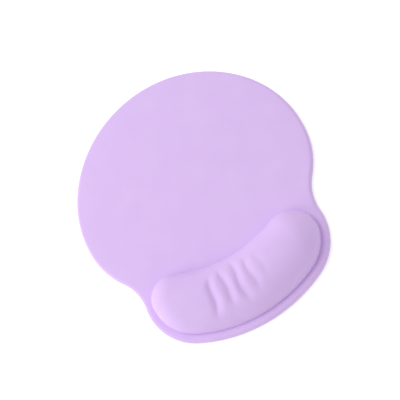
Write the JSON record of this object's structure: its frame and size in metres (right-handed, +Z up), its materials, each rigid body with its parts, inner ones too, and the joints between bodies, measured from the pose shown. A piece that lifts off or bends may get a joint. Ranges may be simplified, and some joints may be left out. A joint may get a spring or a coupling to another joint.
{
  "type": "wrist rest",
  "caption": "Low soft wrist rest and mouse mat in one: a kidney-shaped gel cushion on a rounded mat with a waist, under one lilac stretch-fabric cover, on a flat grip sheet.",
  "frame": {"origin": "on the resting face, under the middle of the mat's outline box", "axes": "+X to the user's right across the mirror line; +Y away from the user, from the cushion to the far edge of the mat; +Z up"},
  "size_m": [0.2242, 0.2498, 0.024],
  "materials": {
    "cover_fabric": "matte",
    "grip_sheet": "matte",
    "foam": "matte",
    "gel": "satin",
    "pouch_film": "satin",
    "adhesive_film": "satin"
  },
  "bodies": {
    "root": {"grip_base": "grip_sheet", "base_adhesive": "adhesive_film", "foam_core": "foam", "gel_bottom_film": "pouch_film", "gel_fill": "gel", "gel_top_film": "pouch_film", "cover_adhesive": "adhesive_film", "cover_fabric": "cover_fabric"}
  },
  "joints": []
}
